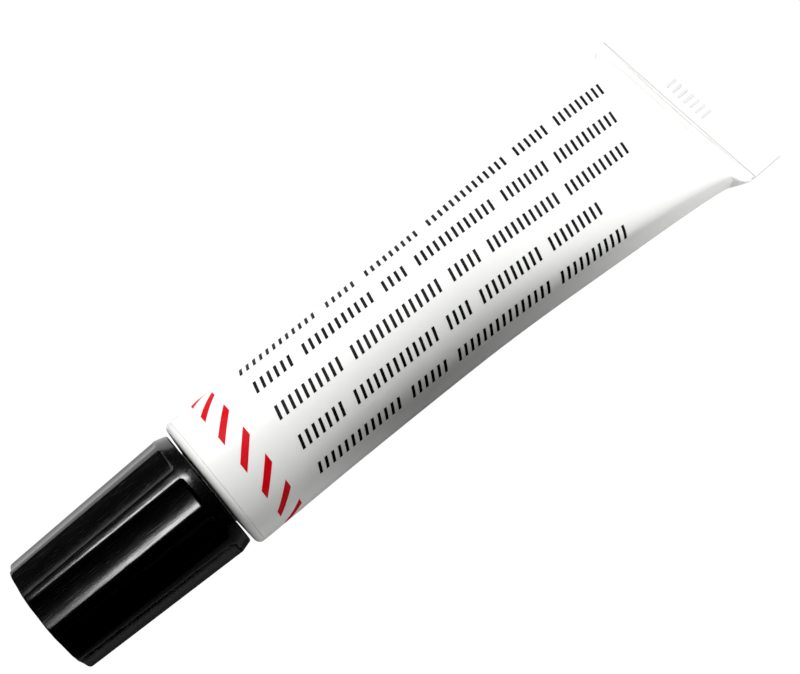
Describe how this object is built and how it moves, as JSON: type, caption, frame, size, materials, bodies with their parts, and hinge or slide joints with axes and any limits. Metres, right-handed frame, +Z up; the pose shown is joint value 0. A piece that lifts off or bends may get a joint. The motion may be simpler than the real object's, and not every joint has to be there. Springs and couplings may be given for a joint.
{
  "type": "squeeze tube with screw cap",
  "caption": "Small filled plastic squeeze tube of grease lying on its side, with a flat welded tail seal, a threaded neck with a nozzle and a tapered, fluted screw cap.",
  "frame": {"origin": "on the surface that the tube lies on, under the middle of its overall length and width", "axes": "+Z up, +X along the tube from the cap to the tail seal, +Y across the seal; the tube's own axis rises 1.68 degrees towards the cap, as it lies on its belly"},
  "size_m": [0.0944, 0.0248, 0.0162],
  "materials": {
    "sleeve_plastic": "satin",
    "head_plastic": "satin",
    "grease": "wet and translucent",
    "cap_plastic": "gloss",
    "liner_foam": "matt"
  },
  "bodies": {
    "tube": {"tube_sleeve": "sleeve_plastic", "tube_head": "head_plastic", "grease_fill": "grease"},
    "cap_seal": {"cap_liner": "liner_foam"},
    "cap": {"cap_shell": "cap_plastic"}
  },
  "joints": [
    {"name": "cap_travel", "type": "slide", "parent": "tube", "child": "cap_seal", "axis": [-0.9996, 0, 0.0293], "range_m": [0, 0.02101]},
    {"name": "cap_turn", "type": "hinge", "parent": "cap_seal", "child": "cap", "pos_m": [-0.0256, 0, 0.00823], "axis": [-0.9996, 0, 0.0293], "range_deg": [0, 2520]}
  ],
  "couplings": [
    {"joint": "cap_travel", "follows": "cap_turn", "m_per_rad": 0.00047746}
  ]
}
